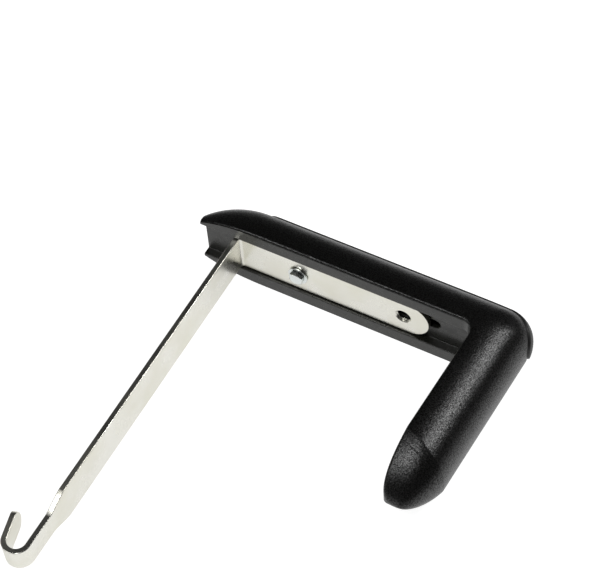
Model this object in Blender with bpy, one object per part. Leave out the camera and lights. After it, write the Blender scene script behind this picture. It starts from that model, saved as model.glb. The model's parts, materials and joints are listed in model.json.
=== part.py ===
"""Ladder stabilizer bracket: a padded L-shaped channel arm with a sliding steel strap that ends in a J hook.

Lengths are in metres. While a piece is being built, x runs along the long arm from its free end to the
corner, y runs from the strap's front face towards the back of the arm, z is across the strap, and the
origin is at the strap's bend. OFFSET then moves everything so that the whole object stands on z = 0 and is
centred in x and y.
"""

import math

import bmesh
import bpy
from mathutils import Vector

# Steel strap
STRAP_WIDTH = 0.0254
STRAP_THICK = 0.0032
BEND_RADIUS = 0.002
STRAP_END_X = 0.1203
HOOK_WIDTH = 0.0154
TAPER_START_Y = -0.187
TAPER_END_Y = -0.202
HOOK_BOTTOM_Y = -0.2295
HOOK_OUTER_RADIUS = 0.0086
HOOK_OPENING = math.radians(14)
HOOK_TAIL = 0.0185
HOOK_TIP = 0.0050
EDGE_BREAK = 0.0003
TAPPED_HOLE_X = 0.1043
TAPPED_MAJOR = 0.0100
TAPPED_MINOR = 0.0086
TAPPED_PITCH = 0.0015

# Clamp hardware: an M6 bolt with a low head
BOLT_X = 0.0377
BOLT_HOLE = 0.0070
SHANK = 0.0061
HEAD_FLATS = 0.0080
HEAD_HEIGHT = 0.0024
WASHER_OUTER = 0.0122
WASHER_THICK = 0.0010
BOLT_TIP_Y = 0.0145
NUT_SIDE = 0.0111
NUT_THICK = 0.0052
NUT_BORE = 0.0068

# Arm: the section is a D, flat towards the inside of the L
RIM_Y = -0.0018
BACK_DEPTH = 0.0270
HALF_HEIGHT = 0.0235
FULLNESS = 2.3
RIM_ROUND = 0.0016
FREE_END_X = -0.0248
BOW_START_X = 0.0078
BOW_LENGTH = 0.0355
PINCH_START_X = 0.0122
PINCH_LENGTH = 0.0522
INNER_FILLET = 0.007
OUTER_FILLET = 0.0167
RIM_X = 0.14897
ARM_LEAN = math.radians(2.7)
SIDE_X = 0.1769
ARM_STRAIGHT = 0.072
NOSE_LENGTH = 0.0295
NOSE_SLANT = 0.35
NOSE_CREASE = 0.30
NOSE_TIP = 0.0132
NOSE_INNER_POWER = 5.0
NOSE_OUTER_POWER = 1.8
NOSE_HEIGHT_POWER = 1.6

# Inner channel
RECESS_HALF = 0.0136
RECESS_DEPTH = 0.0053
CHANNEL_WALL = 0.0014
CHANNEL_CHAMFER = 0.0020
FLANGE_THICK = 0.0022
FLANGE_HALF = 0.0219
COVER_LIP = 0.0011
FLOOR_THICK = 0.0025
CHANNEL_DOWN_ARM = 0.062
SLOT_HALF = 0.0034
SLOT_START_X = 0.008
SLOT_END_X = 0.1258
TRACK_HALF = 0.0064
TRACK_MARGIN = 0.0055
TRACK_DEPTH = 0.0195

# Back strip
STRIP_HALF = 0.0125
STRIP_PROUD = 0.0012
STRIP_SUNK = 0.0014
STRIP_START_X = 0.004
STRIP_START_TAPER = 0.010
STRIP_END_ANGLE = math.radians(66)
STRIP_END_TAPER = math.radians(20)
STRIP_TIP_HALF = 0.0015

GAP = 0.0003
OFFSET = Vector((-0.07676, 0.10154, HALF_HEIGHT))


def clear_scene():
    for obj in list(bpy.data.objects):
        bpy.data.objects.remove(obj, do_unlink=True)


def new_material(name, colour, roughness, metallic):
    material = bpy.data.materials.new(name)
    material.use_nodes = True
    shader = material.node_tree.nodes["Principled BSDF"]
    shader.inputs["Base Color"].default_value = (*colour, 1.0)
    shader.inputs["Roughness"].default_value = roughness
    shader.inputs["Metallic"].default_value = metallic
    return material


def new_object(name, points, faces, material=None, origin=(0.0, 0.0, 0.0)):
    """An object whose mesh is stored relative to origin, with its faces turned outwards."""
    pivot = Vector(origin)
    mesh = bpy.data.meshes.new(name)
    mesh.from_pydata([Vector(p) - pivot for p in points], [], faces)
    builder = bmesh.new()
    builder.from_mesh(mesh)
    bmesh.ops.recalc_face_normals(builder, faces=builder.faces)
    builder.to_mesh(mesh)
    builder.free()
    obj = bpy.data.objects.new(name, mesh)
    obj.location = pivot + OFFSET
    bpy.context.scene.collection.objects.link(obj)
    if material:
        mesh.materials.append(material)
    return obj


def loft(rings):
    """Points and faces of a closed body through rings that all have the same number of points."""
    count = len(rings[0])
    points = [p for ring in rings for p in ring]
    faces = []
    for i in range(len(rings) - 1):
        for j in range(count):
            k = (j + 1) % count
            faces.append((i * count + j, i * count + k, (i + 1) * count + k, (i + 1) * count + j))
    faces.append(tuple(range(count)))
    last = (len(rings) - 1) * count
    faces.append(tuple(last + j for j in range(count)))
    return points, faces


def tube(rings):
    """Like loft, but the last ring joins the first, for a body with a hole through it."""
    count = len(rings[0])
    points = [p for ring in rings for p in ring]
    faces = []
    for i in range(len(rings)):
        n = (i + 1) % len(rings)
        for j in range(count):
            k = (j + 1) % count
            faces.append((i * count + j, i * count + k, n * count + k, n * count + j))
    return points, faces


def cut(obj, cutter):
    """Subtracts the cutter for good, so that no helper stays in the scene."""
    modifier = obj.modifiers.new("cut", "BOOLEAN")
    modifier.operation = "DIFFERENCE"
    modifier.solver = "EXACT"
    modifier.object = cutter
    bpy.context.view_layer.update()
    graph = bpy.context.evaluated_depsgraph_get()
    result = bpy.data.meshes.new_from_object(obj.evaluated_get(graph))
    old = obj.data
    obj.modifiers.clear()
    obj.data = result
    bpy.data.meshes.remove(old)
    bpy.data.objects.remove(cutter, do_unlink=True)


def shade_smooth(obj, angle=35):
    """Smooth faces, with the edges sharper than the angle kept crisp."""
    mesh = obj.data
    builder = bmesh.new()
    builder.from_mesh(mesh)
    for face in builder.faces:
        face.smooth = True
    for edge in builder.edges:
        sharp = len(edge.link_faces) == 2 and edge.calc_face_angle(0.0) > math.radians(angle)
        edge.smooth = not sharp
    builder.to_mesh(mesh)
    builder.free()


def spaced(start, end, count):
    return [start + (end - start) * i / (count - 1) for i in range(count)]


# ---------------------------------------------------------------- path of the arm
#
# A station is (point, across, depth, half): a point on the rim line at the inside of the L, the unit
# direction from there towards the outside, the depth of the D and its half height.


def arm_direction():
    return Vector((-math.sin(ARM_LEAN), -math.cos(ARM_LEAN), 0.0))


def arm_across():
    return Vector((math.cos(ARM_LEAN), -math.sin(ARM_LEAN), 0.0))


def corner_centre():
    """The centre of the inner fillet: one fillet radius inside both rim lines."""
    y = RIM_Y - INNER_FILLET
    rim_x = RIM_X + y * math.tan(ARM_LEAN)
    return Vector((rim_x - INNER_FILLET / math.cos(ARM_LEAN), y, 0.0))


def outer_outline():
    """The outside of the L in plan, as points: the back, the rounded corner and the outer side."""
    turn = math.pi / 2 + ARM_LEAN
    back_y = RIM_Y + BACK_DEPTH
    side_at_back = SIDE_X + back_y * math.tan(ARM_LEAN)
    setback = OUTER_FILLET * math.tan(turn / 2)
    centre = Vector((side_at_back - setback, back_y - OUTER_FILLET, 0.0))
    points = [Vector((-1.0, back_y, 0.0))]
    for angle in spaced(0.0, turn, 25):
        points.append(centre + OUTER_FILLET * Vector((math.sin(angle), math.cos(angle), 0.0)))
    points.append(points[-1] + arm_direction())
    return points


def reach(start, across, outline):
    """How far it is from start to the outline along the direction across."""
    for a, b in zip(outline, outline[1:]):
        edge = b - a
        scale = across.x * edge.y - across.y * edge.x
        if abs(scale) < 1e-12:
            continue
        gap = a - start
        along = (gap.x * edge.y - gap.y * edge.x) / scale
        share = (gap.x * across.y - gap.y * across.x) / scale
        if along > 0 and -1e-6 <= share <= 1 + 1e-6:
            return along
    raise ValueError("the outline was missed")


def narrowed(size, distance, length):
    """The size left where a quarter ellipse of this length has been followed for this distance."""
    share = min(1.0, max(0.0, distance / length))
    return size * math.sqrt(1 - share**2)


def long_arm_stations(xs):
    """The free end narrows in depth, like a bow, and a little in height."""
    across = Vector((0.0, 1.0, 0.0))
    stations = []
    for x in xs:
        depth = narrowed(BACK_DEPTH, BOW_START_X - x, BOW_LENGTH)
        half = narrowed(HALF_HEIGHT, PINCH_START_X - x, PINCH_LENGTH)
        stations.append((Vector((x, RIM_Y, 0.0)), across, depth, half))
    return stations


def corner_stations(count, last_angle=math.pi / 2 + ARM_LEAN):
    centre = corner_centre()
    outline = outer_outline()
    stations = []
    for angle in spaced(0.0, last_angle, count):
        across = Vector((math.sin(angle), math.cos(angle), 0.0))
        point = centre + INNER_FILLET * across
        stations.append((point, across, reach(point, across, outline), HALF_HEIGHT))
    return stations


def arm_stations(downs):
    start = corner_stations(2)[-1][0]
    across = arm_across()
    outline = outer_outline()
    points = [start + arm_direction() * down for down in downs]
    return [(point, across, reach(point, across, outline), HALF_HEIGHT) for point in points]


def bow_xs(count):
    """Positions along the free end that keep the facets of the bow even."""
    first = math.asin((BOW_START_X - FREE_END_X) / BOW_LENGTH)
    return [BOW_START_X - BOW_LENGTH * math.sin(a) for a in spaced(first, 0.0, count)]


def place(station, section):
    """Turns (depth, height) pairs into points at a station."""
    point, across = station[0], station[1]
    return [point + across * n + Vector((0.0, 0.0, z)) for n, z in section]


# ---------------------------------------------------------------- sections


def d_height(depth_share):
    return (1 - depth_share**FULLNESS) ** (1 / FULLNESS)


def d_section(inner, outer, half, count=26):
    """The D: a flat at the depth inner, and a full curve out to the depth outer."""
    soft = min(RIM_ROUND, 0.4 * half)
    start = inner + soft
    section = [(inner, -half + soft), (inner + 0.3 * soft, -half + 0.3 * soft)]
    for angle in spaced(-math.pi / 2, math.pi / 2, count):
        c = max(0.0, math.cos(angle)) ** (2 / FULLNESS)
        s = abs(math.sin(angle)) ** (2 / FULLNESS)
        section.append((start + (outer - start) * c, math.copysign(half * s, angle)))
    section.append((inner + 0.3 * soft, half - 0.3 * soft))
    section.append((inner, half - soft))
    return section


def channel_section(half, clearance):
    """The hat shape of the inner channel. A clearance gives the pocket that it sits in."""
    flange = min(FLANGE_HALF, half - COVER_LIP) + clearance
    wall = RECESS_HALF + CHANNEL_WALL + clearance
    back = RECESS_DEPTH + FLOOR_THICK + clearance
    under = FLANGE_THICK + clearance
    upper = [(under, flange), (under, wall), (back - CHANNEL_CHAMFER, wall), (back, wall - CHANNEL_CHAMFER)]
    outside = upper + [(n, -z) for n, z in reversed(upper)]
    if clearance:
        front = -0.004
        return [(front, -flange), (front, flange)] + outside
    soft = 0.0005
    inside = [
        (0.0, -flange),
        (0.0, -RECESS_HALF - soft),
        (soft, -RECESS_HALF),
        (RECESS_DEPTH - soft, -RECESS_HALF),
        (RECESS_DEPTH, -RECESS_HALF + soft),
        (RECESS_DEPTH, RECESS_HALF - soft),
        (RECESS_DEPTH - soft, RECESS_HALF),
        (soft, RECESS_HALF),
        (0.0, RECESS_HALF + soft),
        (0.0, flange),
    ]
    return inside + outside


def strip_section(station, width, clearance):
    """The back strip follows the curve of the D between two heights."""
    depth, half = station[2], station[3]
    start = RIM_ROUND
    edge = width + clearance
    high = STRIP_PROUD if not clearance else 0.004
    low = STRIP_SUNK + clearance
    heights = spaced(-edge, edge, 11)
    curve = [start + (depth - start) * d_height(abs(z) / half) for z in heights]
    outer = [(n + high, z) for n, z in zip(curve, heights)]
    if not clearance:
        outer[0] = (outer[0][0] - 0.0006, outer[0][1])
        outer[-1] = (outer[-1][0] - 0.0006, outer[-1][1])
    inner = [(n - low, z) for n, z in zip(curve, heights)]
    return outer + inner[::-1]


# ---------------------------------------------------------------- the arm's pieces


def nose_size(reached, power):
    """What is left of a size once the nose has reached this far, from 1 at the crease to 0 at the tip."""
    return ((1 - reached**power) / (1 - NOSE_CREASE**power)) ** (1 / power)


def nose_rings(count):
    """The rounded end of the short arm: it starts at a slanted crease and closes like a fingertip."""
    last = arm_stations([ARM_STRAIGHT])[0]
    along = arm_direction()
    rings = []
    for turn in spaced(math.asin(NOSE_CREASE), math.radians(86), count):
        reached = math.sin(turn)
        share = (reached - NOSE_CREASE) / (1 - NOSE_CREASE)
        inner = NOSE_TIP * (1 - nose_size(reached, NOSE_INNER_POWER))
        outer = NOSE_TIP + (last[2] - NOSE_TIP) * nose_size(reached, NOSE_OUTER_POWER)
        ring = []
        for n, z in d_section(inner, outer, HALF_HEIGHT * nose_size(reached, NOSE_HEIGHT_POWER)):
            down = NOSE_SLANT * (n - NOSE_TIP) * (1 - share) + NOSE_LENGTH * share
            ring.append(last[0] + last[1] * n + along * down + Vector((0.0, 0.0, z)))
        rings.append(ring)
    return rings


def body_rings():
    stations = long_arm_stations(bow_xs(11)[:-1] + [PINCH_START_X, 0.075])
    stations += corner_stations(15)
    rings = [place(s, d_section(0.0, s[2], s[3])) for s in stations]
    return rings + nose_rings(15)


def make_cover(material):
    cover = new_object("cover_moulding", *loft(body_rings()), material)
    xs = [FREE_END_X - 0.01] + bow_xs(11)[:-1] + [PINCH_START_X, 0.075]
    stations = long_arm_stations(xs)
    stations += corner_stations(9)
    stations += arm_stations([CHANNEL_DOWN_ARM + GAP])
    rings = [place(s, channel_section(s[3], GAP)) for s in stations]
    cut(cover, new_object("pocket", *loft(rings)))
    start, end = SLOT_START_X - TRACK_MARGIN, SLOT_END_X + TRACK_MARGIN
    track = slot_rings(start, end, TRACK_HALF, RIM_Y + RECESS_DEPTH, RIM_Y + TRACK_DEPTH)
    cut(cover, new_object("track", *loft(track)))
    cut(cover, new_object("groove", *loft(strip_rings(GAP))))
    shade_smooth(cover)
    return cover


def slot_rings(start_x, end_x, half, near_y, far_y):
    """A slot with round ends, as two rings at the depths near_y and far_y."""
    outline = []
    for angle in spaced(math.pi / 2, 3 * math.pi / 2, 7):
        outline.append((start_x + half + half * math.cos(angle), half * math.sin(angle)))
    for angle in spaced(-math.pi / 2, math.pi / 2, 7):
        outline.append((end_x - half + half * math.cos(angle), half * math.sin(angle)))
    return [[Vector((x, y, z)) for x, z in outline] for y in (near_y, far_y)]


def make_channel(material):
    stations = long_arm_stations(bow_xs(11)[:-1] + [PINCH_START_X, 0.075])
    stations += corner_stations(9)
    stations += arm_stations([CHANNEL_DOWN_ARM])
    rings = [place(s, channel_section(s[3], 0.0)) for s in stations]
    channel = new_object("core_channel", *loft(rings), material)
    slot = slot_rings(SLOT_START_X, SLOT_END_X, SLOT_HALF, 0.0, 0.012)
    cut(channel, new_object("slot", *loft(slot)))
    shade_smooth(channel)
    return channel


def tapered(left, taper):
    """Half width of the strip where it has this much left to go before its end."""
    return max(STRIP_TIP_HALF, narrowed(STRIP_HALF, taper - left, taper))


def strip_rings(clearance):
    """The strip starts in a round end behind the free end and stops in another, round the corner."""
    lefts = [STRIP_START_TAPER * (1 - math.cos(a)) for a in spaced(0.0, math.pi / 2, 7)]
    stations = long_arm_stations([STRIP_START_X - clearance + left for left in lefts] + [0.09])
    widths = [tapered(left, STRIP_START_TAPER) for left in lefts] + [STRIP_HALF]
    last = STRIP_END_ANGLE + clearance / OUTER_FILLET
    for station, angle in zip(corner_stations(19, last), spaced(0.0, last, 19)):
        stations.append(station)
        widths.append(tapered(last - angle, STRIP_END_TAPER))
    return [place(s, strip_section(s, w, clearance)) for s, w in zip(stations, widths)]


def make_strip(material):
    strip = new_object("back_strip", *loft(strip_rings(0.0)), material)
    shade_smooth(strip)
    return strip


# ---------------------------------------------------------------- the strap


def strap_line():
    """Centreline of the strap as (point, direction across its thickness, half width)."""
    wide = STRAP_WIDTH / 2
    mid = STRAP_THICK / 2
    line = []
    for angle in spaced(math.radians(8), math.pi / 2, 9):
        x = STRAP_END_X - wide + wide * math.cos(angle)
        line.append((Vector((x, mid, 0.0)), Vector((0.0, 1.0, 0.0)), wide * math.sin(angle)))
    for angle in spaced(0.0, math.pi / 2, 7):
        normal = Vector((-math.sin(angle), math.cos(angle), 0.0))
        centre = Vector((BEND_RADIUS, -BEND_RADIUS, 0.0))
        line.append((centre + (BEND_RADIUS + mid) * normal, normal, wide))
    return line + hook_line()


def leg_half_width(y):
    """The outer leg narrows to the hook between the two taper positions."""
    share = min(1.0, max(0.0, (TAPER_START_Y - y) / (TAPER_START_Y - TAPER_END_Y)))
    eased = share * share * (3 - 2 * share)
    return (STRAP_WIDTH + (HOOK_WIDTH - STRAP_WIDTH) * (0.6 * share + 0.4 * eased)) / 2


def hook_line():
    outwards = Vector((-1.0, 0.0, 0.0))
    mid = STRAP_THICK / 2
    narrow = HOOK_WIDTH / 2
    line = []
    for y in [TAPER_START_Y] + spaced(TAPER_START_Y, TAPER_END_Y, 8)[1:]:
        line.append((Vector((-mid, y, 0.0)), outwards, leg_half_width(y)))
    radius = HOOK_OUTER_RADIUS - mid
    centre = Vector((-HOOK_OUTER_RADIUS, HOOK_BOTTOM_Y + HOOK_OUTER_RADIUS, 0.0))
    sweep = math.pi - HOOK_OPENING
    for angle in spaced(0.0, sweep, 17):
        normal = Vector((-math.cos(angle), math.sin(angle), 0.0))
        line.append((centre - radius * normal, normal, narrow))
    normal = line[-1][1]
    along = Vector((-normal.y, normal.x, 0.0))
    start = line[-1][0]
    for angle in spaced(0.0, math.radians(80), 8):
        length = HOOK_TAIL - HOOK_TIP * (1 - math.sin(angle))
        line.append((start + along * length, normal, narrow * math.cos(angle)))
    return line


def strap_ring(point, normal, half):
    """A rectangle across the strap with its four edges broken."""
    mid = STRAP_THICK / 2
    soft = min(EDGE_BREAK, 0.3 * half)
    corners = [
        (mid, half - soft),
        (mid - soft, half),
        (-mid + soft, half),
        (-mid, half - soft),
        (-mid, -half + soft),
        (-mid + soft, -half),
        (mid - soft, -half),
        (mid, -half + soft),
    ]
    return [point + normal * n + Vector((0.0, 0.0, z)) for n, z in corners]


def circle_ring(x, y, radius, count=32):
    return [
        Vector((x + radius * math.cos(a), y, radius * math.sin(a)))
        for a in (2 * math.pi * i / count for i in range(count))
    ]


def tapped_hole_rings():
    """The cutter of the tapped hole: grooves of the thread's pitch, and a small countersink on each face."""
    major, minor = TAPPED_MAJOR / 2, TAPPED_MINOR / 2
    rings = [circle_ring(TAPPED_HOLE_X, -0.002, major + 0.002)]
    rings.append(circle_ring(TAPPED_HOLE_X, 0.0003, minor))
    depth = 0.0003
    while depth + TAPPED_PITCH < STRAP_THICK:
        rings.append(circle_ring(TAPPED_HOLE_X, depth + 0.45 * TAPPED_PITCH, major))
        rings.append(circle_ring(TAPPED_HOLE_X, depth + 0.9 * TAPPED_PITCH, minor))
        depth += 0.9 * TAPPED_PITCH
    rings.append(circle_ring(TAPPED_HOLE_X, STRAP_THICK - 0.0003, minor))
    rings.append(circle_ring(TAPPED_HOLE_X, STRAP_THICK + 0.002, major + 0.002))
    return rings


def make_strap(material):
    rings = [strap_ring(*place_) for place_ in strap_line()]
    strap = new_object("strap_hook", *loft(rings), material)
    bolt_hole = [circle_ring(BOLT_X, y, BOLT_HOLE / 2) for y in (-0.002, STRAP_THICK + 0.002)]
    cut(strap, new_object("bolt_hole", *loft(bolt_hole)))
    cut(strap, new_object("tapped_hole", *loft(tapped_hole_rings())))
    shade_smooth(strap)
    return strap


# ---------------------------------------------------------------- clamp hardware


def polygon_ring(y, flats, sides, per_side=4, turn=0.0):
    """A regular polygon about the bolt's axis, with the same number of points as a circle can take."""
    corner = flats / 2 / math.cos(math.pi / sides)
    points = []
    for side in range(sides):
        a = turn + 2 * math.pi * side / sides
        b = turn + 2 * math.pi * (side + 1) / sides
        for step in range(per_side):
            share = step / per_side
            x = corner * (math.cos(a) * (1 - share) + math.cos(b) * share)
            z = corner * (math.sin(a) * (1 - share) + math.sin(b) * share)
            points.append(Vector((BOLT_X + x, y, z)))
    return points


def round_ring(y, radius, count=24, turn=0.0):
    return [
        Vector((BOLT_X + radius * math.cos(a), y, radius * math.sin(a)))
        for a in (turn + 2 * math.pi * i / count for i in range(count))
    ]


def make_bolt(material):
    turn = math.radians(25)
    seat = -WASHER_THICK - 2 * GAP
    top = seat - HEAD_HEIGHT
    rings = [
        round_ring(top, 0.46 * HEAD_FLATS, turn=turn),
        polygon_ring(top + 0.0006, HEAD_FLATS, 6, turn=turn),
        polygon_ring(seat, HEAD_FLATS, 6, turn=turn),
        round_ring(seat, SHANK / 2, turn=turn),
        round_ring(BOLT_TIP_Y - 0.0006, SHANK / 2, turn=turn),
        round_ring(BOLT_TIP_Y, SHANK / 2 - 0.0006, turn=turn),
    ]
    bolt = new_object("clamp_bolt", *loft(rings), material, (BOLT_X, 0.0, 0.0))
    shade_smooth(bolt, 28)
    return bolt


def make_washer(material):
    near, far = -GAP, -GAP - WASHER_THICK
    outer, inner = WASHER_OUTER / 2, BOLT_HOLE / 2
    rings = [
        round_ring(near, inner, 32),
        round_ring(near, outer, 32),
        round_ring(far + 0.0002, outer, 32),
        round_ring(far, outer - 0.0002, 32),
        round_ring(far, inner, 32),
    ]
    washer = new_object("clamp_washer", *tube(rings), material, (BOLT_X, 0.0, 0.0))
    shade_smooth(washer)
    return washer


def make_nut(material):
    near = RIM_Y + RECESS_DEPTH + FLOOR_THICK + GAP
    far = near + NUT_THICK
    turn = math.pi / 4
    rings = [
        round_ring(near, NUT_BORE / 2, 24, turn),
        polygon_ring(near, NUT_SIDE, 4, 6, turn),
        polygon_ring(far - 0.0006, NUT_SIDE, 4, 6, turn),
        round_ring(far, 0.48 * NUT_SIDE, 24, turn),
        round_ring(far, NUT_BORE / 2, 24, turn),
    ]
    nut = new_object("clamp_nut", *tube(rings), material, (BOLT_X, 0.0, 0.0))
    shade_smooth(nut, 28)
    return nut


def main():
    clear_scene()
    grained = new_material("black_grained_moulding", (0.012, 0.012, 0.012), 0.42, 0.0)
    smooth = new_material("black_smooth_channel", (0.020, 0.020, 0.020), 0.30, 0.0)
    rubber = new_material("black_strip", (0.010, 0.010, 0.010), 0.50, 0.0)
    zinc = new_material("zinc_strap", (0.74, 0.75, 0.73), 0.28, 1.0)
    bright = new_material("zinc_hardware", (0.70, 0.74, 0.74), 0.24, 1.0)
    make_cover(grained)
    make_channel(smooth)
    make_strip(rubber)
    make_strap(zinc)
    make_washer(bright)
    make_bolt(bright)
    make_nut(bright)


main()
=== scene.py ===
"""Looks of the ladder stabilizer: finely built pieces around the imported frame, materials and the studio.

World metres, +Z up. The pieces are built in working coordinates with their origin at the strap's bend: x runs
along the long arm towards the corner, y towards the back of the arm, z across the strap. ORIGIN places that
system in the frame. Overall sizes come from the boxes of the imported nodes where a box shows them.
"""

import json
import math

import bmesh
import bpy
from mathutils import Matrix, Vector


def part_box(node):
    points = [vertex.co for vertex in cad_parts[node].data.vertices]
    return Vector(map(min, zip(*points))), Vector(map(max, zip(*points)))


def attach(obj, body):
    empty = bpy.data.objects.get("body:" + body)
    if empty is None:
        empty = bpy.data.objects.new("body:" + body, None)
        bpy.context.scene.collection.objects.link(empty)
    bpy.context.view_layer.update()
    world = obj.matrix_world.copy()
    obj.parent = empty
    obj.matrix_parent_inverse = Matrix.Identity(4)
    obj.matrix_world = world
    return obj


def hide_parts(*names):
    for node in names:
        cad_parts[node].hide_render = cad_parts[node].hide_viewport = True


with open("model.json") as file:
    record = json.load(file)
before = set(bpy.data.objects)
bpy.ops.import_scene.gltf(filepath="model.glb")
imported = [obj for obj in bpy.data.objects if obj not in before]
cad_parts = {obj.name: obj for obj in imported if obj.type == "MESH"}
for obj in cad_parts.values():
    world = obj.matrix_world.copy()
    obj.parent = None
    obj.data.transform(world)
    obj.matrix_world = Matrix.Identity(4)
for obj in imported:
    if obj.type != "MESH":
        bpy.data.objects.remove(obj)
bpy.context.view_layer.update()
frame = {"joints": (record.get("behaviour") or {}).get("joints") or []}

# ---------------------------------------------------------------- sizes read from the frame

GAP = 0.0003
BOLT_X = 0.0377
JOINTS = {joint["name"]: joint for joint in frame["joints"]}
BOLT_AXIS = Vector(JOINTS["bolt_turn"]["pos_m"])
ORIGIN = Vector((BOLT_AXIS.x - BOLT_X, BOLT_AXIS.y, BOLT_AXIS.z))


def local_box(node):
    """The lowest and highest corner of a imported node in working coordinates."""
    low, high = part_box(node)
    return low - ORIGIN, high - ORIGIN


COVER_LOW, COVER_HIGH = local_box("cover_moulding")
STRAP_LOW, STRAP_HIGH = local_box("strap_hook")
WASHER_LOW, WASHER_HIGH = local_box("clamp_washer")
BOLT_LOW, BOLT_HIGH = local_box("clamp_bolt")
NUT_LOW, NUT_HIGH = local_box("clamp_nut")

# Arm: the section is a D, flat towards the inside of the L
RIM_Y = -0.0018
HALF_HEIGHT = COVER_HIGH.z
BACK_DEPTH = 0.0270
FREE_END_X = COVER_LOW.x
FULLNESS = 2.3
RIM_ROUND = 0.0016
BOW_START_X = 0.0078
BOW_LENGTH = 0.0355
PINCH_START_X = 0.0122
PINCH_LENGTH = 0.0522
INNER_FILLET = 0.007
OUTER_FILLET = 0.0167
RIM_X = 0.14897
ARM_LEAN = math.radians(2.7)
SIDE_X = 0.1769
ARM_STRAIGHT = 0.072
NOSE_LENGTH = 0.0295
NOSE_SLANT = 0.35
NOSE_CREASE = 0.30
NOSE_TIP = 0.0132
NOSE_INNER_POWER = 5.0
NOSE_OUTER_POWER = 1.8
NOSE_HEIGHT_POWER = 1.6
NOSE_FOLD = 0.44
FOLD_HALF = 0.010
FOLD_DEPTH = 0.00012
COVER_EVEN_X = 0.115
CHANNEL_EVEN_X = 0.075
NOSE_RUN_IN = 0.007

# Inner channel
RECESS_HALF = 0.0136
RECESS_DEPTH = 0.0053
RECESS_SOFT = 0.0005
CHANNEL_WALL = 0.0014
CHANNEL_CHAMFER = 0.0020
FLANGE_THICK = 0.0022
FLANGE_HALF = 0.0219
COVER_LIP = 0.0011
FLOOR_THICK = 0.0025
CHANNEL_DOWN_ARM = 0.062
SLOT_HALF = 0.0034
SLOT_START_X = 0.008
SLOT_END_X = 0.1258
TRACK_HALF = 0.0064
TRACK_MARGIN = 0.0055
TRACK_DEPTH = 0.0195
SLOT_FLARE = 0.0004
SLOT_CUT_ABOVE = 0.001
SLOT_CUT_DEPTH = 0.012
POCKET_FRONT = -0.004

# Back strip
STRIP_HALF = 0.0125
STRIP_PROUD = 0.00115
STRIP_SUNK = 0.0014
STRIP_SOFT = 0.0006
STRIP_START_X = 0.004
STRIP_START_TAPER = 0.010
STRIP_END_ANGLE = math.radians(66)
STRIP_END_TAPER = math.radians(20)
STRIP_TIP_HALF = 0.0015
STRIP_EVEN_XS = (0.03, 0.11)
GROOVE_PROUD = 0.004

# Steel strap
STRAP_HALF = STRAP_HIGH.z
STRAP_THICK = STRAP_HIGH.y
STRAP_END_X = 0.1203
STRAP_END_FACE = math.radians(8)
STRAP_EVEN_XS = (0.06, 0.03, 0.01)
BEND_RADIUS = 0.002
LEG_START_Y = -0.02
HOOK_WIDTH = 0.0154
TAPER_START_Y = -0.187
TAPER_END_Y = -0.202
TAPER_STRAIGHT = 0.6
HOOK_BOTTOM_Y = STRAP_LOW.y
HOOK_OUTER_RADIUS = 0.0086
HOOK_OPENING = math.radians(14)
HOOK_TAIL = 0.0185
HOOK_TIP = 0.0050
HOOK_TIP_TURN = math.radians(84)
EDGE_ROUND = 0.00045
BOLT_HOLE = 0.0070
TAPPED_HOLE_X = 0.1043
TAPPED_MAJOR = 0.0100
TAPPED_MINOR = 0.0086
TAPPED_PITCH = 0.0015
COUNTERSINK = 0.0004
CUTTER_REACH = 0.002

# Clamp hardware
HEX_TURN = math.radians(25)
HEAD_FLATS = 0.0080
HEAD_CHAMFER = math.radians(30)
CHAMFER_DROP = 0.0007
FACE_RADIUS = 0.46 * HEAD_FLATS
HEAD_DISH = 0.00022
DISH_CENTRE = 0.0004
DISH_STEPS = ((0.55, 1.0), (0.72, 0.3), (0.85, 0.0))  # (share of the face's radius, share of the dish)
SHANK = 0.0061
SHANK_NECK = 0.0006
SHANK_TIP = 0.0004
BOLT_PITCH = 0.0010
THREAD_DEPTH = 0.00045
THREAD_RUN_OUT = 0.0012
THREAD_STEEPNESS = 1.3
THREAD_ROOT = 0.15
SHANK_END_RADIUS = SHANK / 2 - 1.4 * THREAD_DEPTH
WASHER_ROUND = 0.0003
NUT_ROUND = 0.0006
NUT_BORE_RADIUS = 0.0034
NUT_CORNER = 0.66

# Tolerances of the outline search
FAR = 1.0
PARALLEL = 1e-12
ON_EDGE = 1e-6


# ---------------------------------------------------------------- mesh helpers


def spaced(start, end, count):
    return [start + (end - start) * i / (count - 1) for i in range(count)]


def arc(centre, radius, start, end, count):
    """(depth, height) points along a circular arc."""
    points = []
    for angle in spaced(start, end, count):
        points.append((centre[0] + radius * math.cos(angle), centre[1] + radius * math.sin(angle)))
    return points


def new_object(name, points, faces, material=None):
    """An object at the world's origin whose vertices hold its place in the frame."""
    mesh = bpy.data.meshes.new(name)
    mesh.from_pydata([Vector(p) + ORIGIN for p in points], [], faces)
    builder = bmesh.new()
    builder.from_mesh(mesh)
    bmesh.ops.recalc_face_normals(builder, faces=builder.faces)
    builder.to_mesh(mesh)
    builder.free()
    obj = bpy.data.objects.new(name, mesh)
    bpy.context.scene.collection.objects.link(obj)
    if material:
        mesh.materials.append(material)
    return obj


def loft(rings, closed=False):
    """Points and faces of a body through rings with equal point counts, closed back to the first if asked."""
    count = len(rings[0])
    points = [p for ring in rings for p in ring]
    faces = []
    for i in range(len(rings) if closed else len(rings) - 1):
        n = (i + 1) % len(rings)
        for j in range(count):
            k = (j + 1) % count
            faces.append((i * count + j, i * count + k, n * count + k, n * count + j))
    if not closed:
        last = (len(rings) - 1) * count
        faces.append(tuple(range(count)))
        faces.append(tuple(last + j for j in range(count)))
    return points, faces


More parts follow.
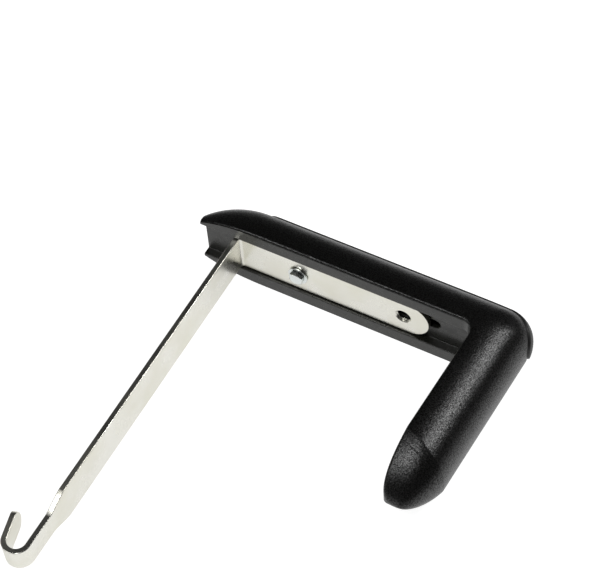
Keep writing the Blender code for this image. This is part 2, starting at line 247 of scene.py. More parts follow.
def cut(obj, cutter):
    """Subtracts the cutter for good, so that no helper stays in the scene."""
    modifier = obj.modifiers.new("cut", "BOOLEAN")
    modifier.operation = "DIFFERENCE"
    modifier.solver = "EXACT"
    modifier.object = cutter
    bpy.context.view_layer.update()
    graph = bpy.context.evaluated_depsgraph_get()
    result = bpy.data.meshes.new_from_object(obj.evaluated_get(graph))
    old = obj.data
    obj.modifiers.clear()
    obj.data = result
    bpy.data.meshes.remove(old)
    bpy.data.objects.remove(cutter, do_unlink=True)


def finish_surface(obj, angle=32):
    """Smooth shading that keeps real edges crisp and large flats flat."""
    builder = bmesh.new()
    builder.from_mesh(obj.data)
    for face in builder.faces:
        face.smooth = True
    for edge in builder.edges:
        sharp = len(edge.link_faces) == 2 and edge.calc_face_angle(0.0) > math.radians(angle)
        edge.smooth = not sharp
    builder.to_mesh(obj.data)
    builder.free()
    weighted = obj.modifiers.new("weighted_normals", "WEIGHTED_NORMAL")
    weighted.keep_sharp = True
    return obj


# ---------------------------------------------------------------- path of the arm
#
# A station is (point, across, depth, half): a point on the rim line at the inside of the L, the unit
# direction from there towards the outside, the depth of the D and its half height.


def arm_direction():
    return Vector((-math.sin(ARM_LEAN), -math.cos(ARM_LEAN), 0.0))


def arm_across():
    return Vector((math.cos(ARM_LEAN), -math.sin(ARM_LEAN), 0.0))


def corner_centre():
    """The centre of the inner fillet: one fillet radius inside both rim lines."""
    y = RIM_Y - INNER_FILLET
    rim_x = RIM_X + y * math.tan(ARM_LEAN)
    return Vector((rim_x - INNER_FILLET / math.cos(ARM_LEAN), y, 0.0))


def outer_outline():
    """The outside of the L in plan, as points: the back, the rounded corner and the outer side."""
    turn = math.pi / 2 + ARM_LEAN
    back_y = RIM_Y + BACK_DEPTH
    side_at_back = SIDE_X + back_y * math.tan(ARM_LEAN)
    setback = OUTER_FILLET * math.tan(turn / 2)
    centre = Vector((side_at_back - setback, back_y - OUTER_FILLET, 0.0))
    points = [Vector((-FAR, back_y, 0.0))]
    for angle in spaced(0.0, turn, 97):
        points.append(centre + OUTER_FILLET * Vector((math.sin(angle), math.cos(angle), 0.0)))
    points.append(points[-1] + FAR * arm_direction())
    return points


def reach(start, across, outline):
    """How far it is from start to the outline along the direction across."""
    for a, b in zip(outline, outline[1:]):
        edge = b - a
        scale = across.x * edge.y - across.y * edge.x
        if abs(scale) < PARALLEL:
            continue
        gap = a - start
        along = (gap.x * edge.y - gap.y * edge.x) / scale
        share = (gap.x * across.y - gap.y * across.x) / scale
        if along > 0 and -ON_EDGE <= share <= 1 + ON_EDGE:
            return along
    raise ValueError("the outline was missed")


def narrowed(size, distance, length):
    """The size left where a quarter ellipse of this length has been followed for this distance."""
    share = min(1.0, max(0.0, distance / length))
    return size * math.sqrt(1 - share**2)


def long_arm_stations(xs):
    """The free end narrows in depth, like a bow, and a little in height."""
    across = Vector((0.0, 1.0, 0.0))
    stations = []
    for x in xs:
        depth = narrowed(BACK_DEPTH, BOW_START_X - x, BOW_LENGTH)
        half = narrowed(HALF_HEIGHT, PINCH_START_X - x, PINCH_LENGTH)
        stations.append((Vector((x, RIM_Y, 0.0)), across, depth, half))
    return stations


def corner_stations(count, last_angle=math.pi / 2 + ARM_LEAN):
    centre = corner_centre()
    outline = outer_outline()
    stations = []
    for angle in spaced(0.0, last_angle, count):
        across = Vector((math.sin(angle), math.cos(angle), 0.0))
        point = centre + INNER_FILLET * across
        stations.append((point, across, reach(point, across, outline), HALF_HEIGHT))
    return stations


def arm_stations(downs):
    start = corner_stations(2)[-1][0]
    across = arm_across()
    outline = outer_outline()
    points = [start + arm_direction() * down for down in downs]
    return [(point, across, reach(point, across, outline), HALF_HEIGHT) for point in points]


def bow_xs(count):
    """Positions along the free end that keep the facets of the bow even."""
    first = math.asin((BOW_START_X - FREE_END_X) / BOW_LENGTH)
    return [BOW_START_X - BOW_LENGTH * math.sin(a) for a in spaced(first, 0.0, count)]


def place(station, section):
    """Turns (depth, height) pairs into points at a station."""
    point, across = station[0], station[1]
    return [point + across * n + Vector((0.0, 0.0, z)) for n, z in section]


# ---------------------------------------------------------------- sections


def d_height(depth_share):
    return (1 - depth_share**FULLNESS) ** (1 / FULLNESS)


def d_section(inner, outer, half, count=64):
    """The D: a flat at the depth inner with rounded rims, and a full curve out to the depth outer."""
    soft = min(RIM_ROUND, 0.4 * half)
    start = inner + soft
    section = arc((start, -half + soft), soft, math.pi, 1.5 * math.pi, 6)[:-1]
    for angle in spaced(-math.pi / 2, math.pi / 2, count):
        c = max(0.0, math.cos(angle)) ** (2 / FULLNESS)
        s = abs(math.sin(angle)) ** (2 / FULLNESS)
        section.append((start + (outer - start) * c, math.copysign(half * s, angle)))
    section += arc((start, half - soft), soft, math.pi / 2, math.pi, 6)[1:]
    return section


def channel_section(half, clearance):
    """The hat shape of the inner channel. A clearance gives the pocket that it sits in."""
    flange = min(FLANGE_HALF, half - COVER_LIP) + clearance
    wall = RECESS_HALF + CHANNEL_WALL + clearance
    back = RECESS_DEPTH + FLOOR_THICK + clearance
    under = FLANGE_THICK + clearance
    upper = [(under, flange), (under, wall), (back - CHANNEL_CHAMFER, wall), (back, wall - CHANNEL_CHAMFER)]
    outside = upper + [(n, -z) for n, z in reversed(upper)]
    if clearance:
        return [(POCKET_FRONT, -flange), (POCKET_FRONT, flange)] + outside
    soft = RECESS_SOFT
    rim = (soft, -RECESS_HALF - soft)
    root = (RECESS_DEPTH - soft, -RECESS_HALF + soft)
    lower = [(0.0, -flange)]
    lower += arc(rim, soft, math.pi, math.pi / 2, 5)
    lower += arc(root, soft, -math.pi / 2, 0.0, 5)
    return lower + [(n, -z) for n, z in reversed(lower)] + outside


def strip_section(station, width, clearance):
    """The back strip follows the curve of the D between two heights."""
    depth, half = station[2], station[3]
    edge = width + clearance
    soft = min(STRIP_SOFT, 0.8 * width)
    high = GROOVE_PROUD if clearance else STRIP_PROUD
    low = STRIP_SUNK + clearance
    heights = spaced(-edge, -edge + soft, 6)[:-1] + spaced(-edge + soft, edge - soft, 21)
    heights += spaced(edge - soft, edge, 6)[1:]
    curve = [RIM_ROUND + (depth - RIM_ROUND) * d_height(abs(z) / half) for z in heights]
    outer = []
    for n, z in zip(curve, heights):
        into = max(0.0, abs(z) - (edge - soft))
        drop = 0.0 if clearance else soft - math.sqrt(max(0.0, soft**2 - into**2))
        outer.append((n + high - drop, z))
    inner = [(n - low, z) for n, z in zip(curve, heights)]
    return outer + inner[::-1]


# ---------------------------------------------------------------- the arm's pieces


def nose_size(reached, power):
    """What is left of a size once the nose has reached this far, from 1 at the crease to 0 at the tip."""
    return ((1 - reached**power) / (1 - NOSE_CREASE**power)) ** (1 / power)


def nose_ring(reached, shrink=0.0):
    """One ring of the nose, drawn in all round by shrink."""
    last = arm_stations([ARM_STRAIGHT])[0]
    share = (reached - NOSE_CREASE) / (1 - NOSE_CREASE)
    inner = NOSE_TIP * (1 - nose_size(reached, NOSE_INNER_POWER)) + shrink
    outer = NOSE_TIP + (last[2] - NOSE_TIP) * nose_size(reached, NOSE_OUTER_POWER) - shrink
    half = HALF_HEIGHT * nose_size(reached, NOSE_HEIGHT_POWER) - shrink
    ring = []
    for n, z in d_section(inner, outer, half):
        down = NOSE_SLANT * (n - NOSE_TIP) * (1 - share) + NOSE_LENGTH * share
        ring.append(last[0] + last[1] * n + arm_direction() * down + Vector((0.0, 0.0, z)))
    return ring


def nose_rings(count):
    """The rounded end of the short arm, which closes like a fingertip, with one fine fold across it."""
    turns = spaced(math.asin(NOSE_CREASE), math.radians(88), count)
    steps = [(math.sin(turn), 0.0) for turn in turns]
    steps = [step for step in steps if abs(step[0] - NOSE_FOLD) > 1.5 * FOLD_HALF]
    steps += [(NOSE_FOLD - FOLD_HALF, 0.0), (NOSE_FOLD, FOLD_DEPTH), (NOSE_FOLD + FOLD_HALF, 0.0)]
    return [nose_ring(reached, shrink) for reached, shrink in sorted(steps)]


def body_rings():
    stations = long_arm_stations(bow_xs(40)[:-1] + spaced(BOW_START_X, COVER_EVEN_X, 24))
    stations += corner_stations(49)
    stations += arm_stations(spaced(0.0, ARM_STRAIGHT - NOSE_RUN_IN, 14)[1:])
    rings = [place(s, d_section(0.0, s[2], s[3])) for s in stations]
    return rings + nose_rings(44)


def slot_ring(start_x, end_x, half, y, count=17):
    """The outline of a slot with round ends, at the depth y."""
    ends = ((start_x + half, math.pi / 2), (end_x - half, -math.pi / 2))
    ring = []
    for centre, first in ends:
        for angle in spaced(first, first + math.pi, count):
            ring.append(Vector((centre + half * math.cos(angle), y, half * math.sin(angle))))
    return ring


def make_cover(material):
    cover = new_object("padded_cover", *loft(body_rings()), material)
    xs = [FREE_END_X - 0.01] + bow_xs(24)[:-1] + [PINCH_START_X, CHANNEL_EVEN_X]
    stations = long_arm_stations(xs)
    stations += corner_stations(25)
    stations += arm_stations([CHANNEL_DOWN_ARM + GAP])
    rings = [place(s, channel_section(s[3], GAP)) for s in stations]
    cut(cover, new_object("pocket", *loft(rings)))
    start, end = SLOT_START_X - TRACK_MARGIN, SLOT_END_X + TRACK_MARGIN
    depths = (RIM_Y + RECESS_DEPTH, RIM_Y + TRACK_DEPTH)
    cut(cover, new_object("track", *loft([slot_ring(start, end, TRACK_HALF, y) for y in depths])))
    cut(cover, new_object("groove", *loft(strip_rings(GAP))))
    return finish_surface(cover)


def make_channel(material):
    stations = long_arm_stations(bow_xs(24)[:-1] + spaced(PINCH_START_X, CHANNEL_EVEN_X, 8))
    stations += corner_stations(25)
    stations += arm_stations(spaced(0.0, CHANNEL_DOWN_ARM, 6)[1:])
    rings = [place(s, channel_section(s[3], 0.0)) for s in stations]
    channel = new_object("inner_channel", *loft(rings), material)
    face, flare, above = RIM_Y + RECESS_DEPTH, SLOT_FLARE, SLOT_CUT_ABOVE
    flares = ((-above, flare + above), (0.0, flare), (flare, 0.0), (SLOT_CUT_DEPTH, 0.0))
    slot = []
    for depth, wider in flares:
        slot.append(slot_ring(SLOT_START_X - wider, SLOT_END_X + wider, SLOT_HALF + wider, face + depth))
    cut(channel, new_object("slot", *loft(slot)))
    return finish_surface(channel)


def tapered(left, taper):
    """Half width of the strip where it has this much left to go before its end."""
    return max(STRIP_TIP_HALF, narrowed(STRIP_HALF, taper - left, taper))


def strip_rings(clearance):
    """The strip starts in a round end behind the free end and stops in another, round the corner."""
    lefts = [STRIP_START_TAPER * (1 - math.cos(a)) for a in spaced(0.0, math.pi / 2, 15)]
    even_xs = spaced(*STRIP_EVEN_XS, 9)
    stations = long_arm_stations([STRIP_START_X - clearance + left for left in lefts] + even_xs)
    widths = [tapered(left, STRIP_START_TAPER) for left in lefts] + [STRIP_HALF] * len(even_xs)
    last = STRIP_END_ANGLE + clearance / OUTER_FILLET
    count = 41
    for station, angle in zip(corner_stations(count, last), spaced(0.0, last, count)):
        stations.append(station)
        widths.append(tapered(last - angle, STRIP_END_TAPER))
    return [place(s, strip_section(s, w, clearance)) for s, w in zip(stations, widths)]


def make_strip(material):
    return finish_surface(new_object("back_bumper_strip", *loft(strip_rings(0.0)), material))


# ---------------------------------------------------------------- the strap


def strap_line():
    """Centreline of the strap as (point, direction across its thickness, half width)."""
    wide = STRAP_HALF
    mid = STRAP_THICK / 2
    flat = Vector((0.0, 1.0, 0.0))
    line = []
    for angle in spaced(STRAP_END_FACE, math.pi / 2, 25):
        x = STRAP_END_X - wide + wide * math.cos(angle)
        line.append((Vector((x, mid, 0.0)), flat, wide * math.sin(angle)))
    line += [(Vector((x, mid, 0.0)), flat, wide) for x in STRAP_EVEN_XS]
    for angle in spaced(0.0, math.pi / 2, 17):
        normal = Vector((-math.sin(angle), math.cos(angle), 0.0))
        centre = Vector((BEND_RADIUS, -BEND_RADIUS, 0.0))
        line.append((centre + (BEND_RADIUS + mid) * normal, normal, wide))
    return line + hook_line()


def leg_half_width(y):
    """The outer leg narrows to the hook between the two taper positions."""
    share = min(1.0, max(0.0, (TAPER_START_Y - y) / (TAPER_START_Y - TAPER_END_Y)))
    eased = share * share * (3 - 2 * share)
    mixed = TAPER_STRAIGHT * share + (1 - TAPER_STRAIGHT) * eased
    return STRAP_HALF + (HOOK_WIDTH / 2 - STRAP_HALF) * mixed


def hook_line():
    """The outer leg, the J and its rounded tail, as strap_line gives them."""
    outwards = Vector((-1.0, 0.0, 0.0))
    mid = STRAP_THICK / 2
    narrow = HOOK_WIDTH / 2
    line = []
    for y in spaced(LEG_START_Y, TAPER_START_Y, 6)[:-1] + spaced(TAPER_START_Y, TAPER_END_Y, 20):
        line.append((Vector((-mid, y, 0.0)), outwards, leg_half_width(y)))
    radius = HOOK_OUTER_RADIUS - mid
    centre = Vector((-HOOK_OUTER_RADIUS, HOOK_BOTTOM_Y + HOOK_OUTER_RADIUS, 0.0))
    sweep = math.pi - HOOK_OPENING
    for angle in spaced(0.0, sweep, 49):
        normal = Vector((-math.cos(angle), math.sin(angle), 0.0))
        line.append((centre - radius * normal, normal, narrow))
    normal = line[-1][1]
    along = Vector((-normal.y, normal.x, 0.0))
    start = line[-1][0]
    for angle in spaced(0.0, HOOK_TIP_TURN, 18):
        length = HOOK_TAIL - HOOK_TIP * (1 - math.sin(angle))
        line.append((start + along * length, normal, narrow * math.cos(angle)))
    return line


def strap_ring(point, normal, half):
    """A rectangle across the strap with rounded edges."""
    mid = STRAP_THICK / 2
    soft = min(EDGE_ROUND, 0.4 * half)
    corners = ((1, 1, 0.0), (-1, 1, 0.5), (-1, -1, 1.0), (1, -1, 1.5))
    section = []
    for side, top, turns in corners:
        centre = (side * (mid - soft), top * (half - soft))
        section += arc(centre, soft, turns * math.pi, (turns + 0.5) * math.pi, 5)
    return [point + normal * n + Vector((0.0, 0.0, z)) for n, z in section]


def circle_ring(x, y, radius, count=64):
    turns = [2 * math.pi * i / count for i in range(count)]
    return [Vector((x + radius * math.cos(a), y, radius * math.sin(a))) for a in turns]


def thread_wave(share):
    """A thread's profile over one pitch, from 0 at the root to 1 at the crest, with small flats on both."""
    slope = 1 - abs(2 * (share % 1.0) - 1)
    return min(1.0, max(0.0, THREAD_STEEPNESS * slope - THREAD_ROOT))


def tapped_hole_rings():
    """The cutter of the tapped hole: a helical thread with a small countersink on each face."""
    major, minor = TAPPED_MAJOR / 2, TAPPED_MINOR / 2
    count = 64
    rings = [circle_ring(TAPPED_HOLE_X, -CUTTER_REACH, major + CUTTER_REACH)]
    for y in spaced(COUNTERSINK, STRAP_THICK - COUNTERSINK, 25):
        ring = []
        for i in range(count):
            share = i / count
            angle = 2 * math.pi * share
            radius = minor + (major - minor) * thread_wave(y / TAPPED_PITCH + share)
            ring.append(Vector((TAPPED_HOLE_X + radius * math.cos(angle), y, radius * math.sin(angle))))
        rings.append(ring)
    rings.append(circle_ring(TAPPED_HOLE_X, STRAP_THICK + CUTTER_REACH, major + CUTTER_REACH))
    return rings


def make_strap(material):
    rings = [strap_ring(*station) for station in strap_line()]
    strap = new_object("hook_strap", *loft(rings), material)
    through = (-CUTTER_REACH, STRAP_THICK + CUTTER_REACH)
    bolt_hole = [circle_ring(BOLT_X, y, BOLT_HOLE / 2) for y in through]
    cut(strap, new_object("bolt_hole", *loft(bolt_hole)))
    cut(strap, new_object("tapped_hole", *loft(tapped_hole_rings())))
    return finish_surface(strap)


# ---------------------------------------------------------------- clamp hardware


def turned_ring(y, radius_at, count=96, turn=HEX_TURN):
    """A ring about the bolt's axis, whose radius is a function of the angle from turn."""
    ring = []
    for i in range(count):
        angle = 2 * math.pi * i / count
        radius = radius_at(angle)
        ring.append(Vector((BOLT_X + radius * math.cos(angle + turn), y, radius * math.sin(angle + turn))))
    return ring


def polygon_radius(angle, flats, sides):
    """The radius of a regular polygon that has a corner at angle 0."""
    step = 2 * math.pi / sides
    return flats / 2 / math.cos(angle % step - step / 2)


def make_bolt(material):
    """A hexagon head with a chamfered top and a shallow dish, on a threaded shank."""
    top, seat = BOLT_LOW.y, WASHER_LOW.y - GAP
    rings = [turned_ring(top + HEAD_DISH, lambda a: DISH_CENTRE)]
    for share, deep in DISH_STEPS:
        rings.append(turned_ring(top + deep * HEAD_DISH, lambda a: share * FACE_RADIUS))
    for drop in spaced(0.0, CHAMFER_DROP, 12) + [seat - top]:
        cone = FACE_RADIUS + drop / math.tan(HEAD_CHAMFER)
        rings.append(turned_ring(top + drop, lambda a: min(cone, polygon_radius(a, HEAD_FLATS, 6))))
    end = BOLT_HIGH.y
    rings.append(turned_ring(seat, lambda a: SHANK / 2))
    for y in spaced(seat + SHANK_NECK, end - SHANK_TIP, 130):
        point = min(1.0, (end - y) / THREAD_RUN_OUT)

        def radius(angle):
            wave = thread_wave(y / BOLT_PITCH - angle / (2 * math.pi))
            return SHANK / 2 - THREAD_DEPTH * (1 - wave * point)

        rings.append(turned_ring(y, radius))
    rings.append(turned_ring(end, lambda a: SHANK_END_RADIUS))
    return finish_surface(new_object("hex_bolt", *loft(rings), material), angle=25)


def rounded_tube(near, far, inner, outer, soft):
    """Rings of a tube about the bolt's axis with rounded outer edges. inner and outer give its radii."""
    rings = [turned_ring(near, inner)]
    for step in spaced(0.0, math.pi / 2, 5):
        inset, rise = soft * (1 - math.sin(step)), soft * (1 - math.cos(step))
        rings.append(turned_ring(near + rise, lambda a, inset=inset: outer(a) - inset))
    for step in spaced(math.pi / 2, 0.0, 5):
        inset, rise = soft * (1 - math.sin(step)), soft * (1 - math.cos(step))
        rings.append(turned_ring(far - rise, lambda a, inset=inset: outer(a) - inset))
    rings.append(turned_ring(far, inner))
    return rings


def make_washer(material):
    outer = (WASHER_HIGH.x - WASHER_LOW.x) / 2
    near, far = WASHER_LOW.y, WASHER_HIGH.y
    rings = rounded_tube(near, far, lambda a: BOLT_HOLE / 2, lambda a: outer, WASHER_ROUND)
    return finish_surface(new_object("flat_washer", *loft(rings, True), material))


def make_nut(material):
    """The square nut that runs in the track. Its first corner is at 45 degrees."""
    flats = NUT_HIGH.x - NUT_LOW.x
    corner = math.pi / 4 - HEX_TURN
    limit = NUT_CORNER * flats

    def outer(angle):
        return min(limit, polygon_radius(angle - corner, flats, 4))

    rings = rounded_tube(NUT_LOW.y, NUT_HIGH.y, lambda a: NUT_BORE_RADIUS, outer, NUT_ROUND)
    return finish_surface(new_object("square_nut", *loft(rings, True), material), angle=28)


# ---------------------------------------------------------------- materials

COVER_BLACKS = ((0.0030, 0.0030, 0.0028), (0.0048, 0.0048, 0.0045))
CHANNEL_BLACKS = ((0.0090, 0.0092, 0.0072), (0.0150, 0.0152, 0.0120))
STRIP_BLACKS = ((0.0050, 0.0050, 0.0047), (0.0085, 0.0085, 0.0080))
STRAP_ZINCS = ((0.822, 0.812, 0.748), (0.785, 0.772, 0.680))
HARDWARE_ZINCS = ((0.70, 0.745, 0.735), (0.79, 0.81, 0.79))
IOR = 1.5


class Nodes:
    """Short calls for a material's node tree. Noise scales are per metre, bump distances in metres."""

    def __init__(self, name):
        self.material = bpy.data.materials.new(name)
        self.material.use_nodes = True
        self.tree = self.material.node_tree
        self.shader = self.tree.nodes["Principled BSDF"]
        coordinates = self.tree.nodes.new("ShaderNodeTexCoord")
        self.place = coordinates.outputs["Object"]

    def link(self, value, socket):
        if isinstance(value, bpy.types.NodeSocket):
            self.tree.links.new(value, socket)
        else:
            socket.default_value = value

    def math(self, operation, a, b):
        node = self.tree.nodes.new("ShaderNodeMath")
        node.operation = operation
        self.link(a, node.inputs[0])
        self.link(b, node.inputs[1])
        return node.outputs[0]

    def vector(self, operation, a, b, output="Vector"):
        node = self.tree.nodes.new("ShaderNodeVectorMath")
        node.operation = operation
        self.link(a, node.inputs[0])
        self.link(b, node.inputs[1])
        return node.outputs[output]

    def noise(self, scale, detail=2.0, roughness=0.5, vector=None):
        node = self.tree.nodes.new("ShaderNodeTexNoise")
        self.link(vector or self.place, node.inputs["Vector"])
        node.inputs["Scale"].default_value = scale
        node.inputs["Detail"].default_value = detail
        node.inputs["Roughness"].default_value = roughness
        return node.outputs["Fac"]

    def cells(self, scale, vector=None):
        node = self.tree.nodes.new("ShaderNodeTexVoronoi")
        self.link(vector or self.place, node.inputs["Vector"])
        node.inputs["Scale"].default_value = scale
        return node.outputs["Distance"]

    def remap(self, value, low, high, to_low, to_high):
        node = self.tree.nodes.new("ShaderNodeMapRange")
        node.interpolation_type = "SMOOTHSTEP"
        for socket, setting in zip(node.inputs, (value, low, high, to_low, to_high)):
            self.link(setting, socket)
        return node.outputs["Result"]

    def mix(self, share, first, second):
        """Mixes two colours. In this mode they are inputs 6 and 7, and the result is output 2."""
        node = self.tree.nodes.new("ShaderNodeMix")
        node.data_type = "RGBA"
        self.link(share, node.inputs[0])
        node.inputs[6].default_value = (*first, 1.0)
        node.inputs[7].default_value = (*second, 1.0)
        return node.outputs[2]

    def bump(self, height, distance, under=None):
        node = self.tree.nodes.new("ShaderNodeBump")
        node.inputs["Strength"].default_value = 1.0
        node.inputs["Distance"].default_value = distance
        self.link(height, node.inputs["Height"])
        if under:
            self.link(under, node.inputs["Normal"])
        return node.outputs["Normal"]

    def surface(self, colour, roughness, normal, metallic=0.0):
        self.link(colour, self.shader.inputs["Base Color"])
        self.link(roughness, self.shader.inputs["Roughness"])
        self.link(normal, self.shader.inputs["Normal"])
        self.shader.inputs["Metallic"].default_value = metallic
        self.shader.inputs["IOR"].default_value = IOR
        return self.material


def grained_moulding():
    """Black moulded rubber: a fine uneven grain of varying gloss, which breaks a highlight into specks."""
    n = Nodes("grained_moulding")
    warp = n.vector("MULTIPLY", n.noise(700.0, 2.0), (0.0006, 0.0006, 0.0006))
    pebbles = n.remap(n.cells(1300.0, n.vector("ADD", n.place, warp)), 0.0, 0.75, 0.25, 0.0)
    height = n.math("ADD", pebbles, n.noise(1000.0, 3.0, 0.65))
    wide = n.bump(n.noise(60.0, 2.0), 0.00020)
    normal = n.bump(height, 0.00013, wide)
    specks = n.remap(n.noise(1350.0, 3.0, 0.7), 0.38, 0.62, 0.14, 0.80)
    n.link(specks, n.shader.inputs["Specular IOR Level"])
    roughness = n.remap(n.noise(1900.0, 2.0, 0.6), 0.35, 0.65, 0.28, 0.31)
    colour = n.mix(n.noise(60.0, 3.0), *COVER_BLACKS)
    return n.surface(colour, roughness, normal)


def smooth_channel():
    """Hard black plastic: nearly smooth, with faint flow marks along the arm."""
    n = Nodes("smooth_channel")
    along = n.vector("MULTIPLY", n.place, (0.12, 1.0, 1.0))
    marks = n.noise(420.0, 4.0, 0.6, along)
    normal = n.bump(marks, 0.00005, n.bump(n.noise(70.0, 2.0), 0.00016))
    roughness = n.remap(n.noise(240.0, 4.0), 0.3, 0.7, 0.24, 0.36)
    colour = n.mix(n.noise(110.0, 3.0), *CHANNEL_BLACKS)
    return n.surface(colour, roughness, normal)


def strip_rubber():
    """Matt black strip, a little softer than the cover, with a powdery fine grain."""
    n = Nodes("strip_rubber")
    normal = n.bump(n.noise(2600.0, 3.0, 0.6), 0.00004, n.bump(n.noise(110.0), 0.0002))
    roughness = n.remap(n.noise(200.0, 3.0), 0.3, 0.7, 0.42, 0.54)
    colour = n.mix(n.noise(80.0, 3.0), *STRIP_BLACKS)
    return n.surface(colour, roughness, normal)


def zinc_strap():
    """Bright zinc over drawn steel: fine lines along the strap, faint yellow-green patches, small nicks."""
    n = Nodes("zinc_strap")
    travel = n.vector("DOT_PRODUCT", n.place, (1.0, 1.0, 0.0), "Value")
    parts = n.tree.nodes.new("ShaderNodeSeparateXYZ")
    n.link(n.place, parts.inputs[0])
    lines = n.tree.nodes.new("ShaderNodeCombineXYZ")
    n.link(n.math("MULTIPLY", travel, 0.03), lines.inputs[0])
    n.link(parts.outputs["Z"], lines.inputs[2])
    drawn = n.noise(2400.0, 4.0, 0.65, lines.outputs[0])
    patches = n.noise(38.0, 3.0, 0.55)
    nicks = n.remap(n.cells(260.0), 0.0, 0.16, 1.0, 0.0)
    height = n.math("SUBTRACT", drawn, n.math("MULTIPLY", nicks, 0.5))
    normal = n.bump(height, 0.000012, n.bump(n.noise(55.0, 2.0), 0.00012))
    roughness = n.math("ADD", n.remap(patches, 0.3, 0.7, 0.20, 0.30), n.math("MULTIPLY", drawn, 0.08))
    colour = n.mix(n.remap(patches, 0.35, 0.68, 0.0, 1.0), *STRAP_ZINCS)
    return n.surface(colour, roughness, normal, metallic=1.0)


def zinc_hardware():
    """Brighter blue-white zinc on the clamp's small pieces, with light turning marks."""
    n = Nodes("zinc_hardware")
    speckle = n.noise(1400.0, 3.0, 0.6)
    normal = n.bump(speckle, 0.00001, n.bump(n.noise(220.0), 0.00006))
    roughness = n.remap(n.noise(500.0, 3.0), 0.3, 0.7, 0.16, 0.28)
    colour = n.mix(n.noise(160.0, 2.0), *HARDWARE_ZINCS)
    return n.surface(colour, roughness, normal, metallic=1.0)


# ---------------------------------------------------------------- assembly


def settle(piece, body, node):
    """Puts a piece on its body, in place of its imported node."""
    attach(piece, body)
    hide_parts(node)


def build_object():
    steel, bright = zinc_strap(), zinc_hardware()
    settle(make_cover(grained_moulding()), "arm", "cover_moulding")
    settle(make_channel(smooth_channel()), "arm", "core_channel")
    settle(make_strip(strip_rubber()), "arm", "back_strip")
    settle(make_strap(steel), "strap", "strap_hook")
    settle(make_washer(bright), "strap", "clamp_washer")
    settle(make_bolt(bright), "bolt", "clamp_bolt")
    settle(make_nut(bright), "nut", "clamp_nut")


# ---------------------------------------------------------------- studio

FLOOR_SIZE = 6.0
FLOOR_WHITE = 0.42
FLOOR_GLOW_SEEN = 0.93
FLOOR_GLOW_NEAR = 0.70
FLOOR_GLOW_FAR = 0.02
FLOOR_POOL = (0.16, 0.50)
FLOOR_POOL_CENTRE = (-0.04, 0.0, 0.0)
ROOM_SEEN = 0.93
ROOM_STOPS = ((0.0, 0.08), (0.18, 0.08), (0.42, 0.05), (0.60, 0.02), (1.0, 0.015))

# Each light: name, direction from its target, size, watts
KEY_LIGHT = ("key_softbox", (0.46, 0.45, 0.765), (0.26, 0.62), 6.6)
NOSE_LIGHT = ("nose_softbox", (-0.12, -0.36, 0.92), (0.26, 0.26), 4.0)
TOP_LIGHT = ("top_softbox", (-0.39, -0.42, 0.82), (0.35, 0.62), 3.6)
LIGHT_DISTANCE = 1.3
ARM_INSET = 0.02

CAMERA_PLACE = (0.325472, -0.476301, 0.924766)
CAMERA_RIGHT = Vector((0.87834529, 0.47545954, -0.04947504))
CAMERA_UP = Vector((-0.35526559, 0.71852201, 0.59792347))
CAMERA_LENS = 118.933
CAMERA_SENSOR = 36.0
CAMERA_SHIFT = 0.0008
CAMERA_CLIP = 0.01


def glow_strength(tree):
    """How much the floor glows: evenly where the camera sees it, and as a pool of light for reflections."""
    ray = tree.nodes.new("ShaderNodeLightPath")
    place = tree.nodes.new("ShaderNodeTexCoord")
    distance = tree.nodes.new("ShaderNodeVectorMath")
    distance.operation = "DISTANCE"
    tree.links.new(place.outputs["Object"], distance.inputs[0])
    distance.inputs[1].default_value = FLOOR_POOL_CENTRE
    pool = tree.nodes.new("ShaderNodeMapRange")
    pool.interpolation_type = "SMOOTHSTEP"
    tree.links.new(distance.outputs["Value"], pool.inputs["Value"])
    pool.inputs["From Min"].default_value, pool.inputs["From Max"].default_value = FLOOR_POOL
    pool.inputs["To Min"].default_value = FLOOR_GLOW_NEAR
    pool.inputs["To Max"].default_value = FLOOR_GLOW_FAR
    choice = tree.nodes.new("ShaderNodeMix")
    tree.links.new(ray.outputs["Is Camera Ray"], choice.inputs[0])
    tree.links.new(pool.outputs["Result"], choice.inputs[2])
    choice.inputs[3].default_value = FLOOR_GLOW_SEEN
    return choice.outputs[0]


def make_floor():
    """A white sweep. Seen directly it is close to pure white, and its shadows are light."""
    mesh = bpy.data.meshes.new("studio_floor")
    corners = [(-1, -1), (1, -1), (1, 1), (-1, 1)]
    mesh.from_pydata([(FLOOR_SIZE * x, FLOOR_SIZE * y, 0.0) for x, y in corners], [], [(0, 1, 2, 3)])
    floor = bpy.data.objects.new("studio_floor", mesh)
    bpy.context.scene.collection.objects.link(floor)
    material = bpy.data.materials.new("white_sweep")
    material.use_nodes = True
    tree = material.node_tree
    tree.nodes.clear()
    output = tree.nodes.new("ShaderNodeOutputMaterial")
    diffuse = tree.nodes.new("ShaderNodeBsdfDiffuse")
    diffuse.inputs["Color"].default_value = (FLOOR_WHITE, FLOOR_WHITE, FLOOR_WHITE, 1.0)
    glow = tree.nodes.new("ShaderNodeEmission")
    tree.links.new(glow_strength(tree), glow.inputs["Strength"])
    both = tree.nodes.new("ShaderNodeAddShader")
    tree.links.new(diffuse.outputs[0], both.inputs[0])
    tree.links.new(glow.outputs[0], both.inputs[1])
    tree.links.new(both.outputs[0], output.inputs["Surface"])
    mesh.materials.append(material)


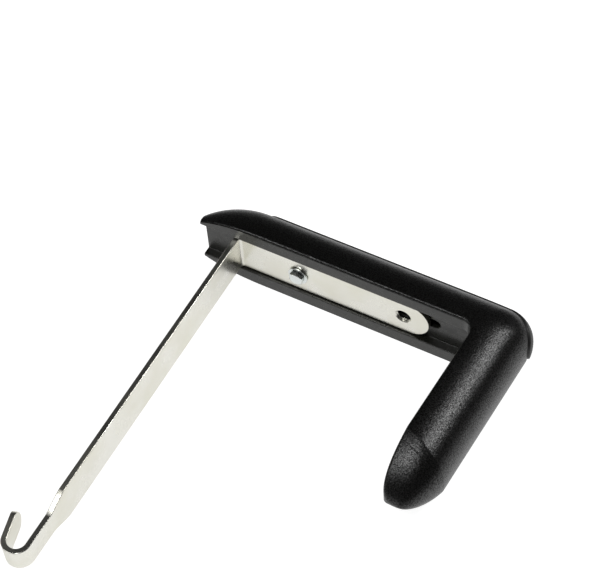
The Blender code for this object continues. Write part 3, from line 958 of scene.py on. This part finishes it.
def make_world():
    """A pale room as the camera sees it; in reflections it is grey near the horizon and dim overhead."""
    world = bpy.data.worlds.new("studio_room")
    bpy.context.scene.world = world
    world.use_nodes = True
    tree = world.node_tree
    background = tree.nodes["Background"]
    coordinates = tree.nodes.new("ShaderNodeTexCoord")
    parts = tree.nodes.new("ShaderNodeSeparateXYZ")
    ramp = tree.nodes.new("ShaderNodeValToRGB")
    tree.links.new(coordinates.outputs["Generated"], parts.inputs[0])
    tree.links.new(parts.outputs["Z"], ramp.inputs["Fac"])
    elements = ramp.color_ramp.elements
    while len(elements) < len(ROOM_STOPS):
        elements.new(0.5)
    for element, (position, value) in zip(elements, ROOM_STOPS):
        element.position = position
        element.color = (value, value, value, 1.0)
    ray = tree.nodes.new("ShaderNodeLightPath")
    choice = tree.nodes.new("ShaderNodeMix")
    choice.data_type = "RGBA"
    tree.links.new(ray.outputs["Is Camera Ray"], choice.inputs[0])
    tree.links.new(ramp.outputs["Color"], choice.inputs[6])
    choice.inputs[7].default_value = (ROOM_SEEN, ROOM_SEEN, ROOM_SEEN, 1.0)
    tree.links.new(choice.outputs[2], background.inputs["Color"])


def softbox(target, name, direction, size, power):
    """A rectangular area light that looks at target from the given direction."""
    light = bpy.data.lights.new(name, "AREA")
    light.shape = "RECTANGLE"
    light.size, light.size_y = size
    light.energy = power
    lamp = bpy.data.objects.new(name, light)
    towards = Vector(direction).normalized()
    lamp.location = target + LIGHT_DISTANCE * towards
    lamp.rotation_euler = towards.to_track_quat("Z", "Y").to_euler()
    bpy.context.scene.collection.objects.link(lamp)


def make_lights():
    """The key makes the band along the short arm, and the others light the nose and the strap's edge."""
    low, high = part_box("cover_moulding")
    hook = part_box("strap_hook")[0]
    arm_x = high.x - ARM_INSET
    softbox(Vector((arm_x, 0.5 * (low.y + high.y), high.z)), *KEY_LIGHT)
    softbox(Vector((arm_x, low.y, high.z)), *NOSE_LIGHT)
    softbox(Vector((hook.x, hook.y, high.z)), *TOP_LIGHT)


def make_camera():
    """The catalogue view, from the front right and above, with a long lens."""
    camera = bpy.data.cameras.new("camera")
    camera.lens = CAMERA_LENS
    camera.sensor_width = CAMERA_SENSOR
    camera.sensor_fit = "HORIZONTAL"
    camera.clip_start = CAMERA_CLIP
    camera.shift_y = CAMERA_SHIFT
    back = CAMERA_RIGHT.cross(CAMERA_UP)
    turn = Matrix((CAMERA_RIGHT, CAMERA_UP, back)).transposed().to_4x4()
    eye = bpy.data.objects.new("camera", camera)
    eye.matrix_world = Matrix.Translation(CAMERA_PLACE) @ turn
    bpy.context.scene.collection.objects.link(eye)
    bpy.context.scene.camera = eye


build_object()
make_floor()
make_world()
make_lights()
make_camera()
bpy.context.scene.view_settings.view_transform = "Standard"
